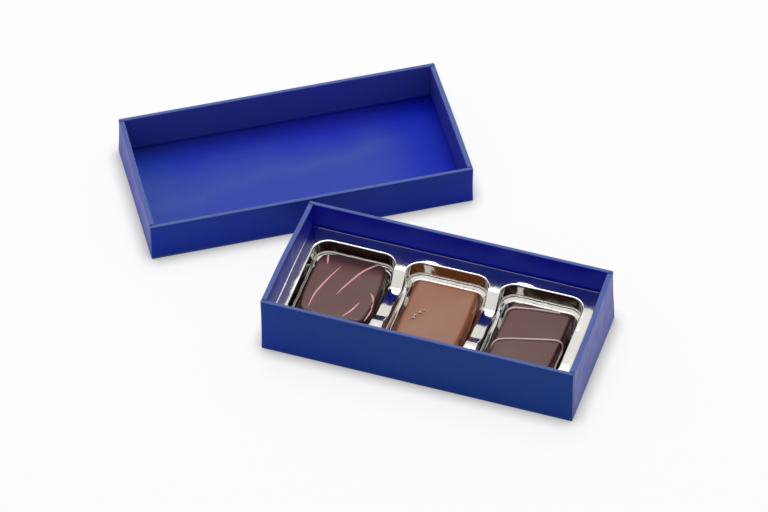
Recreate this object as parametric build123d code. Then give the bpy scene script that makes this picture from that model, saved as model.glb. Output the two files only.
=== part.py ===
from build123d import *
import os
from math import cos, radians, sin, tan

# A small two-part folding carton for three chocolates, in millimetres.
# The origin is the centre of the base tray's underside, +X runs along the tray, +Y to the back, +Z up.
# The lid lies upside down on the table, behind the tray and turned away from it.

# Board and walls: each wall is one strip of board rolled over, with a hollow between its two layers
board = 0.45
wall_hollow = 0.80
fold_radius = 0.35
mitre_slit = 0.20
inner_panel_lift = 0.20
corner_reveal = 0.90
glue_film = 0.10
tab_reach = 12.0
tab_margin = 1.2
glue_margin = 0.6

# Base tray
base_length = 120.0
base_width = 54.5
base_height = 25.0

# Lid: slides over the base with this clearance on every side
lid_clearance = 0.55
lid_height = 17.0

# Where the lid lies: the gap behind the base's back left corner, how far along the lid's front that
# corner is from the lid's middle, and the lid's turn on the table
lid_gap = 7.7
lid_corner_offset = 3.8
lid_turn = 32.0

# Insert tray of thin formed plastic, shorter than the base tray by its spare and lying to the left
film = 0.35
insert_height = 13.1
insert_clearance = 0.30
insert_spare = 2.4
pocket_count = 3
pocket_side_margin = 4.3
pocket_end_margin = 5.0
bridge_width = 4.2
pocket_corner = 6.0
pocket_floor_corner = 4.0
ledge_depth = 6.7
ledge_width = 0.7
draft_angle = 3.0
finger_gap_length = 26.0
finger_gap_shift = 0.5
finger_gap_slope = 45.0
finger_gap_corner = 2.0

# Chocolates: a coating of even thickness round a soft filling. The gaps are those that each one
# leaves in the middle of its pocket's mouth, the shift and the slide its way off that middle
coating = 1.6
praline_height = 13.0
praline_draft = 0.6

dark_side_gap = 2.2
dark_end_gap = 3.55
dark_bow = 1.5
dark_corner = 2.4
dark_edge = 1.1
dark_shift = 0.6
dark_slide = 0.5

milk_side_gap = 3.85
milk_end_gap = 5.05
milk_bow = 0.4
milk_corner = 2.4
milk_edge = 1.6
milk_shift = 1.3
milk_slide = 2.8

drizzled_side_gap = 4.1
drizzled_end_gap = 5.3
drizzled_bow = 0.3
drizzled_corner = 1.8
drizzled_edge = 1.1
drizzled_shift = 1.1
drizzled_slide = 3.1
drizzled_turn = -1.5

# Decorations on the chocolates
stripe_height = 0.25
stripe_width = 0.95
stripe_tip = 0.16
stripe_drop_share = 0.4
thread_radius = 0.42
crystal_size = 1.15
crystal_seat = 0.02

wall = 2 * board + wall_hollow
lid_length = base_length + 2 * (wall + lid_clearance)
lid_width = base_width + 2 * (wall + lid_clearance)

praline_floor = board + film
insert_top = board + insert_height
insert_length = base_length - 2 * (wall + insert_clearance) - insert_spare
insert_shift = -insert_spare / 2
insert_width = base_width - 2 * (wall + insert_clearance)
pockets_run = insert_length - 2 * pocket_side_margin
pocket_width = (pockets_run - (pocket_count - 1) * bridge_width) / pocket_count
pocket_pitch = pocket_width + bridge_width
pocket_length = insert_width - 2 * pocket_end_margin

dark_width = pocket_width - 2 * dark_side_gap
dark_length = pocket_length - 2 * dark_end_gap
milk_width = pocket_width - 2 * milk_side_gap
milk_length = pocket_length - 2 * milk_end_gap
drizzled_width = pocket_width - 2 * drizzled_side_gap
drizzled_length = pocket_length - 2 * drizzled_end_gap

# Places along the dark chocolate's stripes, as shares of its half width and half length from its
# middle: start, middle and end of each arc
stripe_places_shares = (
    ((-0.80, 0.97), (-0.75, 0.83), (-0.69, 0.66)),
    ((-0.31, 0.65), (-0.58, 0.02), (-0.69, -0.86)),
    ((0.62, 0.92), (0.17, 0.46), (-0.11, -0.22)),
    ((0.74, 0.03), (0.90, -0.10), (0.985, -0.26)),
    ((0.57, -0.32), (0.44, -0.59), (0.24, -0.90)),
    ((0.985, -0.22), (0.97, -0.56), (0.86, -0.93)),
)

# Places of the two threads on the drizzled chocolate: along the width and the length as shares of
# their halves, and down from the top as a share of the height
first_thread_shares = (
    (-1.0, 0.02, 0.52),
    (-1.0, 0.20, 0.16),
    (-0.93, 0.44, 0.0),
    (-0.62, 0.56, 0.0),
    (-0.05, 0.70, 0.0),
    (0.45, 0.84, 0.0),
)
second_thread_shares = (
    (-1.0, -0.56, 0.40),
    (-1.0, -0.44, 0.14),
    (-0.90, -0.32, 0.0),
    (-0.20, -0.14, 0.0),
    (0.55, -0.02, 0.0),
    (0.92, -0.05, 0.0),
    (1.0, -0.16, 0.18),
    (1.0, -0.42, 0.44),
    (1.0, -0.74, 0.62),
)

# Salt crystals on the milk chocolate: place as shares of the half width and half length, size as a
# share of the crystal size, and turn in degrees
crystal_shares = (
    (-0.66, -0.38, 1.00, 20.0),
    (-0.57, -0.30, 0.70, 65.0),
    (-0.73, -0.28, 0.55, 40.0),
    (-0.47, -0.18, 1.05, 35.0),
    (-0.37, -0.10, 0.75, 10.0),
    (-0.52, -0.07, 0.55, 75.0),
    (-0.38, -0.22, 0.50, 50.0),
)
crystal_depth_share = 0.7
crystal_height_share = 0.45


def block(low, high):
    """A box between two corners."""
    size = [b - a for a, b in zip(low, high)]
    middle = [(a + b) / 2 for a, b in zip(low, high)]
    return Pos(*middle) * Box(*size)


# Folded carton

def wall_profile(height):
    """Section of a rolled-over wall: the outer face at 0, the inside towards -X, up along Y."""
    outer = Pos(-wall / 2, height / 2) * Rectangle(wall, height)
    rounded = [v for v in outer.vertices() if v.X > -board or v.Y > board]
    outer = fillet(rounded, fold_radius)
    hollow_height = height - 2 * board
    hollow = Pos(-board - wall_hollow / 2, board + hollow_height / 2) * Rectangle(wall_hollow, hollow_height)
    foot = Pos(-board - wall_hollow - board / 2 - fold_radius / 2, board + inner_panel_lift / 2) * Rectangle(
        board + fold_radius, inner_panel_lift)
    return outer - hollow - foot


def rolled_wall(face, run, tip, height):
    """A wall whose outer face is at X = face, mitred from the half run at its face to the tip inside."""
    profile = Plane.XZ * Pos(face, 0) * wall_profile(height)
    strip = extrude(profile, amount=run, both=True)
    plan = Polygon(
        (face, -run), (face, run), (face - wall, tip), (face - wall, -tip), align=None)
    return strip & extrude(plan, amount=height)


def corner_tab(length, width, height):
    """The long wall's glue tab, folded round the corner behind the end panel."""
    face = length / 2 - board - glue_film
    return block(
        (face - board, width / 2 - tab_reach, board + tab_margin),
        (face, width / 2 - fold_radius, height - board - tab_margin))


def folded_tray(length, width, height):
    """One blank: floor, four rolled-over walls mitred at the rim, and four corner tabs."""
    floor = block((board - length / 2, board - width / 2, 0), (length / 2 - board, width / 2 - board, board))
    side = rolled_wall(width / 2, length / 2, length / 2 - wall - mitre_slit / 2, height)
    end = rolled_wall(length / 2, width / 2 - corner_reveal, width / 2 - wall - mitre_slit / 2, height)
    tab = corner_tab(length, width, height)
    pieces = [Rot(0, 0, turn) * side for turn in (90, -90)]
    pieces += [Rot(0, 0, turn) * end for turn in (0, 180)]
    tabs = [tab, tab.mirror(Plane.YZ)]
    tabs += [t.mirror(Plane.XZ) for t in tabs]
    return Part() + floor + pieces + tabs


def corner_glue(length, width, height):
    """Four thin films between the corner tabs and the end panels."""
    face = length / 2 - board
    film_solid = block(
        (face - glue_film, width / 2 - tab_reach + glue_margin, board + tab_margin + glue_margin),
        (face, width / 2 - corner_reveal - glue_margin, height - board - tab_margin - glue_margin))
    films = [film_solid, film_solid.mirror(Plane.YZ)]
    films += [f.mirror(Plane.XZ) for f in films]
    return Compound(children=films)


def lid_place():
    """The lid's place on the table, off the base tray's back left corner."""
    across = lid_width / 2 + lid_gap
    turned_x = -lid_corner_offset * cos(radians(lid_turn)) + across * sin(radians(lid_turn))
    turned_y = -lid_corner_offset * sin(radians(lid_turn)) - across * cos(radians(lid_turn))
    return Pos(-base_length / 2 - turned_x, base_width / 2 - turned_y, 0) * Rot(0, 0, lid_turn)


# Insert tray

def pocket(grow):
    """A stepped, tapering pocket, grown outwards and downwards by the film or by nothing."""
    top = insert_top - grow
    ledge = insert_top - ledge_depth - grow
    floor = praline_floor - grow
    slope = tan(radians(draft_angle))
    half_growth = 2 * grow
    mouth = RectangleRounded(
        pocket_width + half_growth, pocket_length + half_growth, pocket_corner + grow)
    upper = extrude(Plane.XY.offset(top) * mouth, amount=top - ledge, dir=(0, 0, -1), taper=draft_angle)
    inset = 2 * (ledge_width + (insert_top - grow - ledge) * slope)
    well = RectangleRounded(
        pocket_width + half_growth - inset, pocket_length + half_growth - inset, pocket_floor_corner + grow)
    lower = extrude(Plane.XY.offset(ledge) * well, amount=ledge - floor, dir=(0, 0, -1), taper=draft_angle)
    return upper + lower


def finger_gap(grow):
    """A flat-bottomed trough with sloping ends across the bridges, grown by the film or by nothing."""
    slope = radians(finger_gap_slope)
    half_top = finger_gap_length / 2 + grow * tan(slope / 2)
    half_bottom = half_top - ledge_depth / tan(slope)
    top = insert_top - grow
    bottom = top - ledge_depth
    section = Polygon(
        (finger_gap_shift - half_top, top), (finger_gap_shift - half_bottom, bottom),
        (finger_gap_shift + half_bottom, bottom), (finger_gap_shift + half_top, top), align=None)
    section = fillet(section.vertices().sort_by(Axis.Y)[:2], finger_gap_corner + grow)
    span = (pocket_count - 1) * pocket_pitch
    return extrude(Plane.YZ * section, amount=span / 2, both=True)


def insert_space(grow):
    """What lies below one face of the film: a slab less the pockets and the finger gaps."""
    slab = block(
        (-insert_length / 2, -insert_width / 2, board),
        (insert_length / 2, insert_width / 2, insert_top - grow))
    for number in range(pocket_count):
        shift = (number - (pocket_count - 1) / 2) * pocket_pitch
        slab = slab - Pos(shift, 0, 0) * pocket(grow)
    return slab - finger_gap(grow)


def insert_tray():
    """The formed film: what lies below its top face and not below its under face."""
    return insert_space(0) - insert_space(film)


# Chocolates

def bowed_outline(width, length, bow, corner):
    """A rectangle with gently bowed sides and rounded corners."""
    half_w = width / 2 - bow
    half_l = length / 2 - bow
    sides = [
        ThreePointArc((-half_w, -half_l), (0, -length / 2), (half_w, -half_l)),
        ThreePointArc((half_w, -half_l), (width / 2, 0), (half_w, half_l)),
        ThreePointArc((half_w, half_l), (0, length / 2), (-half_w, half_l)),
        ThreePointArc((-half_w, half_l), (-width / 2, 0), (-half_w, -half_l)),
    ]
    face = make_face(Curve() + sides)
    return fillet(face.vertices(), corner)


def praline_block(width, length, bow, corner, edge, height):
    """A chocolate's outer shape, standing on Z = 0, its top edge rounded."""
    narrowing = 2 * height * tan(radians(praline_draft))
    foot = bowed_outline(width, length, bow, corner)
    top = bowed_outline(width - narrowing, length - narrowing, bow, corner)
    solid = loft([foot, Pos(0, 0, height) * top], ruled=True)
    return fillet(solid.faces().sort_by(Axis.Z)[-1].edges(), edge)


def praline_pair(width, length, bow, corner, edge):
    """The whole chocolate, and the filling that its coating closes in."""
    outer = praline_block(width, length, bow, corner, edge, praline_height)
    inner = Pos(0, 0, coating) * praline_block(
        width - 2 * coating, length - 2 * coating, bow, corner, edge, praline_height - 2 * coating)
    return outer, inner


def praline_place(number, shift, slide, turn=0):
    """Where a chocolate stands: slid towards the front of its pocket."""
    middle = (number - (pocket_count - 1) / 2) * pocket_pitch
    return Pos(insert_shift + middle + shift, -slide, praline_floor) * Rot(0, 0, turn)


def stripe(places):
    """A thin crescent on the dark chocolate, widest in the middle, drawn in plan."""
    points = [Vector(x * dark_width / 2, y * dark_length / 2) for x, y in places]
    start, middle, end = points
    along = (end - start).normalized()
    side = Vector(-along.Y, along.X)
    tip = side * (stripe_tip / 2)
    belly = side * (stripe_width / 2)
    outline = Curve() + [
        ThreePointArc(start + tip, middle + belly, end + tip),
        Line(end + tip, end - tip),
        ThreePointArc(end - tip, middle - belly, start - tip),
        Line(start - tip, start + tip),
    ]
    return extrude(make_face(outline), amount=praline_height + stripe_height)


def dark_stripes(whole):
    """The stripes lie on the coating as a thin skin, and run down its side where they reach the edge."""
    skin = praline_block(
        dark_width + 2 * stripe_height, dark_length + 2 * stripe_height, dark_bow,
        dark_corner + stripe_height, dark_edge + stripe_height, praline_height + stripe_height)
    skin = skin - whole
    skin = skin - block(
        (-dark_width, -dark_length, 0), (dark_width, dark_length, praline_height * stripe_drop_share))
    parts = []
    for places in stripe_places_shares:
        parts += (skin & stripe(places)).solids()
    return Compound(children=parts)


def thread(places, whole):
    """A round thread along the drizzled chocolate's skin, flat where it lies on the coating."""
    points = []
    for x, y, down in places:
        height = praline_height * (1 - down)
        edge = drizzled_width / 2 - height * tan(radians(praline_draft))
        points.append(Vector(x * edge, y * drizzled_length / 2, height))
    path = Spline(*points)
    section = Plane(path @ 0, z_dir=path % 0) * Circle(thread_radius)
    return sweep(section, path=path) - whole


def drizzle_threads(whole):
    """Both threads, each one solid."""
    threads = [thread(places, whole) for places in (first_thread_shares, second_thread_shares)]
    return Compound(children=[solid for each in threads for solid in each.solids()])


def salt_crystals():
    """Small flat crystals lying on the milk chocolate's top."""
    crystals = []
    for x, y, share, turn in crystal_shares:
        size = crystal_size * share
        crystal = Box(size, size * crystal_depth_share, size * crystal_height_share,
                      align=(Align.CENTER, Align.CENTER, Align.MIN))
        place = Pos(x * milk_width / 2, y * milk_length / 2, praline_height + crystal_seat)
        crystals.append(place * Rot(0, 0, turn) * crystal)
    return Compound(children=crystals)


def each_placed(place, shape):
    """The shape's solids, every one moved by itself to the place."""
    return Compound(children=[place * solid for solid in shape.solids()])


def build():
    """Every piece by its name, in its place."""
    lid = lid_place()
    dark = praline_place(0, dark_shift, dark_slide)
    milk = praline_place(1, milk_shift, milk_slide)
    drizzled = praline_place(2, drizzled_shift, drizzled_slide, drizzled_turn)
    dark_whole, dark_filling = praline_pair(dark_width, dark_length, dark_bow, dark_corner, dark_edge)
    milk_whole, milk_filling = praline_pair(milk_width, milk_length, milk_bow, milk_corner, milk_edge)
    drizzled_whole, drizzled_filling = praline_pair(
        drizzled_width, drizzled_length, drizzled_bow, drizzled_corner, drizzled_edge)
    return {
        "base_carton": folded_tray(base_length, base_width, base_height),
        "base_corner_glue": corner_glue(base_length, base_width, base_height),
        "lid_carton": lid * folded_tray(lid_length, lid_width, lid_height),
        "lid_corner_glue": each_placed(lid, corner_glue(lid_length, lid_width, lid_height)),
        "insert_tray": Pos(insert_shift, 0, 0) * insert_tray(),
        "dark_praline_coating": dark * (dark_whole - dark_filling),
        "dark_praline_filling": dark * dark_filling,
        "dark_praline_stripes": each_placed(dark, dark_stripes(dark_whole)),
        "milk_praline_coating": milk * (milk_whole - milk_filling),
        "milk_praline_filling": milk * milk_filling,
        "milk_praline_salt": each_placed(milk, salt_crystals()),
        "drizzled_praline_coating": drizzled * (drizzled_whole - drizzled_filling),
        "drizzled_praline_filling": drizzled * drizzled_filling,
        "drizzled_praline_threads": each_placed(drizzled, drizzle_threads(drizzled_whole)),
    }


os.makedirs("parts", exist_ok=True)
for name, shape in build().items():
    export_step(shape, f"parts/{name}.step")
    print(name, len(shape.solids()), "solids", round(shape.volume, 1), "mm3")
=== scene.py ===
import math
import bmesh
import bpy
import numpy as np
from mathutils import Matrix, Vector


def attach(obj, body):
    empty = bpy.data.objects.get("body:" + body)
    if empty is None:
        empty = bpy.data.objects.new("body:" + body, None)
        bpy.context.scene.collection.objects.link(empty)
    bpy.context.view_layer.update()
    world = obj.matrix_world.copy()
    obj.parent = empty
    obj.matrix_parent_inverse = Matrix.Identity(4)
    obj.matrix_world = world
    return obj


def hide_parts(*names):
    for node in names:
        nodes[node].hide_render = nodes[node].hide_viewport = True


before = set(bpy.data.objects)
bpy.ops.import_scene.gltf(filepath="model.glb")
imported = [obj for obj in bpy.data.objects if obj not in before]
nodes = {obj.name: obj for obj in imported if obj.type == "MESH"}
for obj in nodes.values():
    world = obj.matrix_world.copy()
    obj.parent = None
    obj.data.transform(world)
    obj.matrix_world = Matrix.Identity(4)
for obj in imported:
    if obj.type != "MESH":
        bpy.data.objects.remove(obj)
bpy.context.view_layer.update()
mm = 0.001
print("frame loaded:", len(nodes), "nodes")


# Mesh helpers: shells are (points, quads, triangles), in millimetres

def gridShell(points, closedV=False):
    # a grid of points as quads; closedV joins each row's last point to its first
    nu, nv = points.shape[:2]
    u = np.arange(nu - 1)[:, None]
    v = np.arange(nv if closedV else nv - 1)[None, :]
    a = u * nv + v
    b = (u + 1) * nv + v
    c = (u + 1) * nv + (v + 1) % nv
    d = u * nv + (v + 1) % nv
    quads = np.stack([a, b, c, d], axis=-1).reshape(-1, 4)
    return points.reshape(-1, 3), quads, np.zeros((0, 3), int)


def fan(middle, start, count):
    # triangles from the point numbered middle to the closed ring of count points that begins at start
    v = np.arange(count)
    return np.stack([np.full(count, middle), start + v, start + (v + 1) % count], axis=-1)


def cappedShell(points):
    # rings (first index along, second index round) closed by a fan at each end
    nu, nv = points.shape[:2]
    verts, quads, _ = gridShell(points, closedV=True)
    n = len(verts)
    verts = np.vstack([verts, points[0].mean(axis=0), points[-1].mean(axis=0)])
    endFan = fan(n + 1, (nu - 1) * nv, nv)[:, [0, 2, 1]]
    return verts, quads, np.vstack([fan(n, 0, nv), endFan])


def outward(shell):
    # turns a closed shell's faces so that its enclosed volume is positive
    verts, quads, tris = shell
    a = np.vstack([quads[:, [0, 1, 2]], quads[:, [0, 2, 3]], tris])
    volume = np.einsum("ij,ij->i", verts[a[:, 0]], np.cross(verts[a[:, 1]], verts[a[:, 2]])).sum()
    if volume < 0:
        quads, tris = quads[:, ::-1], tris[:, ::-1]
    return verts, quads, tris


def joined(shells):
    # several shells as one, their points renumbered
    points, quads, tris, start = [], [], [], 0
    for verts, q, t in shells:
        points.append(verts)
        quads.append(q + start)
        tris.append(t + start)
        start += len(verts)
    return np.vstack(points), np.vstack(quads), np.vstack(tris)


def makePiece(name, shell, material, body, replaced, sharp=40.0, values=None):
    # a visible piece that rides on a body; sharp is the angle over which edges stay sharp, 0 for none
    verts, quads, tris = shell
    mesh = bpy.data.meshes.new(name)
    mesh.vertices.add(len(verts))
    mesh.vertices.foreach_set("co", (verts * mm).astype(np.float32).ravel())
    corners = np.concatenate([quads.ravel(), tris.ravel()]).astype(np.int32)
    starts = np.concatenate([np.arange(len(quads)) * 4, len(quads) * 4 + np.arange(len(tris)) * 3])
    mesh.loops.add(len(corners))
    mesh.loops.foreach_set("vertex_index", corners)
    mesh.polygons.add(len(starts))
    mesh.polygons.foreach_set("loop_start", starts.astype(np.int32))
    mesh.update(calc_edges=True)
    mesh.polygons.foreach_set("use_smooth", np.ones(len(starts), bool))
    if sharp:
        mesh.set_sharp_from_angle(angle=math.radians(sharp))
    for key, data in (values or {}).items():
        layer = mesh.attributes.new(key, "FLOAT", "POINT")
        layer.data.foreach_set("value", data.astype(np.float32))
    mesh.update()
    mesh.materials.append(material)
    piece = bpy.data.objects.new(name, mesh)
    bpy.context.scene.collection.objects.link(piece)
    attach(piece, body)
    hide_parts(*replaced)
    return piece


def welded(piece):
    # joins points that lie within a hundredth of a millimetre of each other
    work = bmesh.new()
    work.from_mesh(piece.data)
    bmesh.ops.remove_doubles(work, verts=work.verts, dist=0.01 * mm)
    work.to_mesh(piece.data)
    work.free()


def smoothStep(t):
    # 3 t squared minus 2 t cubed, with t held between 0 and 1
    t = np.clip(t, 0, 1)
    return t * t * (3 - 2 * t)


# Camera: solved from the corners of both trays

cameraView = dict(azimuth=18.371, elevation=46.562, roll=-0.441, distance=2249.8, lens=281.25,
                  target=(-31.3, 31.06, 0.0))


def placeCamera():
    # looks back along azimuth and elevation from the distance to the target, then rolls about that line
    a, e, r = (math.radians(cameraView[k]) for k in ("azimuth", "elevation", "roll"))
    back = Vector((math.sin(a) * math.cos(e), -math.cos(a) * math.cos(e), math.sin(e)))
    right = Vector((math.cos(a), math.sin(a), 0))
    up = back.cross(right)
    turnedRight = math.cos(r) * right + math.sin(r) * up
    turnedUp = -math.sin(r) * right + math.cos(r) * up
    camera = bpy.data.objects.new("camera", bpy.data.cameras.new("camera"))
    bpy.context.scene.collection.objects.link(camera)
    rotation = Matrix((turnedRight, turnedUp, back)).transposed()
    place = Vector(cameraView["target"]) * mm + back * cameraView["distance"] * mm
    camera.matrix_world = Matrix.Translation(place) @ rotation.to_4x4()
    camera.data.lens = cameraView["lens"]
    camera.data.sensor_width = 36.0
    camera.data.clip_start, camera.data.clip_end = 0.05, 50.0
    bpy.context.scene.camera = camera


placeCamera()
print("camera placed")


# Material helpers

class Tree:
    # a material's or group's node tree, with short calls to add and link nodes
    def __init__(self, tree):
        self.tree = tree

    def add(self, kind, settings=None, **inputs):
        node = self.tree.nodes.new(kind)
        for key, value in (settings or {}).items():
            setattr(node, key, value)
        for key, value in inputs.items():
            self.put(node.inputs[key.replace("_", " ")], value)
        return node

    def put(self, socket, value):
        if isinstance(value, bpy.types.NodeSocket):
            self.tree.links.new(value, socket)
        else:
            socket.default_value = value

    def math(self, operation, a, b=0.0, clamp=False):
        node = self.tree.nodes.new("ShaderNodeMath")
        node.operation, node.use_clamp = operation, clamp
        self.put(node.inputs[0], a)
        self.put(node.inputs[1], b)
        return node.outputs[0]

    def blend(self, factor, a, b, kind="MIX"):
        node = self.tree.nodes.new("ShaderNodeMix")
        node.data_type, node.blend_type = "RGBA", kind
        self.put(node.inputs[0], factor)
        self.put(node.inputs[6], a)
        self.put(node.inputs[7], b)
        return node.outputs[2]

    def ramp(self, value, low, high, outLow=0.0, outHigh=1.0):
        node = self.tree.nodes.new("ShaderNodeMapRange")
        for index, item in enumerate((value, low, high, outLow, outHigh)):
            self.put(node.inputs[index], item)
        return node.outputs[0]

    def noise(self, vector, scale, detail=2.0):
        node = self.tree.nodes.new("ShaderNodeTexNoise")
        self.put(node.inputs["Vector"], vector)
        node.inputs["Scale"].default_value = scale
        node.inputs["Detail"].default_value = detail
        return node.outputs["Fac"]


def newMaterial(name):
    # a Principled material, with its tree, its shader and its Object coordinates
    material = bpy.data.materials.new(name)
    material.use_nodes = True
    tree = Tree(material.node_tree)
    shader = material.node_tree.nodes["Principled BSDF"]
    place = tree.add("ShaderNodeTexCoord").outputs["Object"]
    return material, tree, shader, place


def newGroup(name, inputs, outputs):
    # a shader node group with typed sockets
    group = bpy.data.node_groups.new(name, "ShaderNodeTree")
    for key, kind, value in inputs:
        socket = group.interface.new_socket(key, in_out="INPUT", socket_type=kind)
        if value is not None:
            socket.default_value = value
    for key, kind in outputs:
        group.interface.new_socket(key, in_out="OUTPUT", socket_type=kind)
    tree = Tree(group)
    start = group.nodes.new("NodeGroupInput")
    end = group.nodes.new("NodeGroupOutput")
    return group, tree, start, end


def grainGroup():
    # coarse waves plus fine grain, as one height and one mask
    group, tree, start, end = newGroup("surfaceGrain", [
        ("Vector", "NodeSocketVector", None), ("Wave", "NodeSocketFloat", 60.0),
        ("Grain", "NodeSocketFloat", 2500.0), ("Share", "NodeSocketFloat", 0.2)],
        [("Height", "NodeSocketFloat"), ("Mask", "NodeSocketFloat")])
    parts = []
    for key, detail in (("Wave", 1.5), ("Grain", 3.0)):
        noise = tree.add("ShaderNodeTexNoise")
        tree.put(noise.inputs["Vector"], start.outputs["Vector"])
        tree.put(noise.inputs["Scale"], start.outputs[key])
        noise.inputs["Detail"].default_value = detail
        parts.append(noise.outputs["Fac"])
    fine = tree.math("MULTIPLY", parts[1], start.outputs["Share"])
    tree.put(end.inputs["Height"], tree.math("ADD", parts[0], fine))
    tree.put(end.inputs["Mask"], parts[1])
    return group


grain = grainGroup()
noiseRange = (0.3, 0.7)  # most of a noise's values lie between these


def surfaceGrain(tree, place, look, scale=1.0):
    # the grain group's height and mask, its wave and grain a look's own times the scale
    node = tree.tree.nodes.new("ShaderNodeGroup")
    node.node_tree = grain
    values = dict(Vector=place, Wave=scale * look["wave"], Grain=scale * look["grain"], Share=look["grainShare"])
    for key, value in values.items():
        tree.put(node.inputs[key], value)
    return node.outputs


def bumpNormal(tree, shader, height, look):
    # tilts the shading by the slope of a height
    bump = tree.add("ShaderNodeBump", Strength=look["bump"], Distance=look["bumpDepth"], Height=height)
    tree.put(shader.inputs["Normal"], bump.outputs["Normal"])


boardLook = dict(deep=(0.0045, 0.0060, 0.40, 1), teal=(0.0002, 0.029, 0.205, 1), wearAndSheen=(0.110, 0.145, 0.32, 1),
                 roughness=0.42, roughSpread=0.05, tint=(0.0, 0.20, 1.0, 1), level=0.5, wave=55.0, grain=2600.0,
                 grainShare=0.12, streakStretch=(5.0, 1.0, 1.0), streakScale=150.0, patchScale=22.0, patchShare=0.12,
                 speckle=0.06, bump=0.35, bumpDepth=0.00035)


def boardMaterial(name, look, turn):
    # deep blue coating with paper fibre and streaks along the tray; outer faces greener by a painted reflection,
    # folds lighter by a painted highlight with some wear, and painted sheen and light on the end faces and lid
    # insides
    material, tree, shader, place = newMaterial(name)
    fibre = surfaceGrain(tree, place, look)
    along = tree.add("ShaderNodeMapping", dict(vector_type="TEXTURE"), Vector=place,
                     Rotation=(0, 0, math.radians(turn)), Scale=look["streakStretch"])
    streak = tree.noise(along.outputs[0], look["streakScale"])
    teal = tree.add("ShaderNodeAttribute", dict(attribute_name="teal")).outputs["Fac"]
    wearAndSheen = tree.add("ShaderNodeAttribute", dict(attribute_name="wearAndSheen")).outputs["Fac"]
    slow = tree.ramp(tree.noise(place, look["patchScale"], 1.0), 0.35, 0.65, -look["patchShare"], look["patchShare"])
    tealShare = tree.math("ADD", teal, slow, clamp=True)
    # painted reflection: the teal share makes the faces that reflect the lit floor greener
    colour = tree.blend(tealShare, look["deep"], look["teal"])
    speckle = tree.ramp(fibre["Mask"], *noiseRange, 1 - look["speckle"], 1 + look["speckle"])
    speckle = tree.add("ShaderNodeCombineColor", Red=speckle, Green=speckle, Blue=speckle).outputs[0]
    colour = tree.blend(1.0, colour, speckle, "MULTIPLY")
    # painted highlight and sheen, with some wear: the lighter blue on the folds, end faces and lid insides
    wearAndSheenShare = tree.math("MULTIPLY", wearAndSheen, tree.ramp(fibre["Mask"], 0.35, 0.6, 0.72, 1.0))
    colour = tree.blend(wearAndSheenShare, colour, look["wearAndSheen"])
    tree.put(shader.inputs["Base Color"], colour)
    rough, spread = look["roughness"], look["roughSpread"]
    tree.put(shader.inputs["Roughness"], tree.ramp(streak, *noiseRange, rough - spread, rough + spread))
    shader.inputs["Specular IOR Level"].default_value = look["level"]
    shader.inputs["Specular Tint"].default_value = look["tint"]
    height = tree.math("ADD", fibre["Height"], tree.math("MULTIPLY", streak, 0.5))
    bumpNormal(tree, shader, height, look)
    return material


filmLook = dict(colour=(0.71, 0.69, 0.635, 1), dusk=(0.67, 0.655, 0.61, 1), roughness=(0.065, 0.115), wave=170.0,
                grain=900.0, grainShare=0.06, bump=0.4, bumpDepth=0.00016)


def filmMaterial(look):
    # silver coating, duller and rougher where the film was stretched
    material, tree, shader, place = newMaterial("silverFilm")
    stretch = surfaceGrain(tree, place, look)
    mask = tree.ramp(stretch["Mask"], *noiseRange)
    tree.put(shader.inputs["Base Color"], tree.blend(mask, look["colour"], look["dusk"]))
    shader.inputs["Metallic"].default_value = 1.0
    tree.put(shader.inputs["Roughness"], tree.ramp(mask, 0, 1, *look["roughness"]))
    bumpNormal(tree, shader, stretch["Height"], look)
    return material


skinLook = dict(wave=160.0, grain=1800.0, grainShare=0.12, mottle=90.0, softDepth=0.001, bump=0.3, bumpDepth=0.0002)
# each skin's third colour is painted shade: darker and more saturated where the skin turns away from the light
darkSkin = dict(colour=(0.090, 0.0185, 0.0125, 1), dusk=(0.074, 0.0145, 0.0100, 1), paintedShade=(0.030, 0.0070, 0.0065, 1),
                roughness=(0.36, 0.45), level=0.42, soft=0.0)
milkSkin = dict(colour=(0.295, 0.110, 0.048, 1), dusk=(0.265, 0.096, 0.040, 1), paintedShade=(0.270, 0.072, 0.018, 1),
                roughness=(0.36, 0.45), level=0.5, soft=0.2, reach=(1.6, 0.7, 0.35))


def chocolateMaterial(name, look):
    # the skin's colour on the flat top, with painted shade on its turned edges, sides and the back's fall: darker and
    # more saturated there
    material, tree, shader, place = newMaterial(name)
    skin = surfaceGrain(tree, place, skinLook)
    mask = tree.ramp(tree.noise(place, skinLook["mottle"], 3.0), *noiseRange)
    # painted shade on the turned edges, sides and the back's fall
    share = tree.add("ShaderNodeAttribute", dict(attribute_name="paintedShade")).outputs["Fac"]
    top = tree.blend(mask, look["colour"], look["dusk"])
    tree.put(shader.inputs["Base Color"], tree.blend(share, top, look["paintedShade"]))
    tree.put(shader.inputs["Roughness"], tree.ramp(skin["Mask"], *noiseRange, *look["roughness"]))
    shader.inputs["Specular IOR Level"].default_value = look["level"]
    shader.inputs["Subsurface Weight"].default_value = look["soft"]
    if look["soft"]:
        shader.inputs["Subsurface Radius"].default_value = look["reach"]
        shader.inputs["Subsurface Scale"].default_value = skinLook["softDepth"]
    bumpNormal(tree, shader, skin["Height"], skinLook)
    return material


plainLook = dict(wave=0.3, grain=3.0, grainShare=0.3, roughSpread=0.05, reach=(1.0, 0.6, 0.5), softDepth=0.0005,
                 bump=0.3, bumpDepth=0.0001)
stripeSkin = dict(colour=(0.82, 0.37, 0.39, 1), other=(0.77, 0.32, 0.35, 1), roughness=0.40, scale=700.0, soft=0.2)
threadSkin = dict(colour=(0.66, 0.52, 0.47, 1), other=(0.60, 0.46, 0.41, 1), roughness=0.38, scale=700.0, soft=0.2)
saltSkin = dict(colour=(0.66, 0.50, 0.41, 1), other=(0.46, 0.30, 0.21, 1), roughness=0.13, scale=1500.0, soft=0.3)
fillingSkin = dict(colour=(0.14, 0.070, 0.040, 1), other=(0.11, 0.055, 0.032, 1), roughness=0.55, scale=700.0,
                   soft=0.0)
glueSkin = dict(colour=(0.72, 0.68, 0.56, 1), other=(0.66, 0.62, 0.50, 1), roughness=0.45, scale=700.0, soft=0.0)


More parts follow.
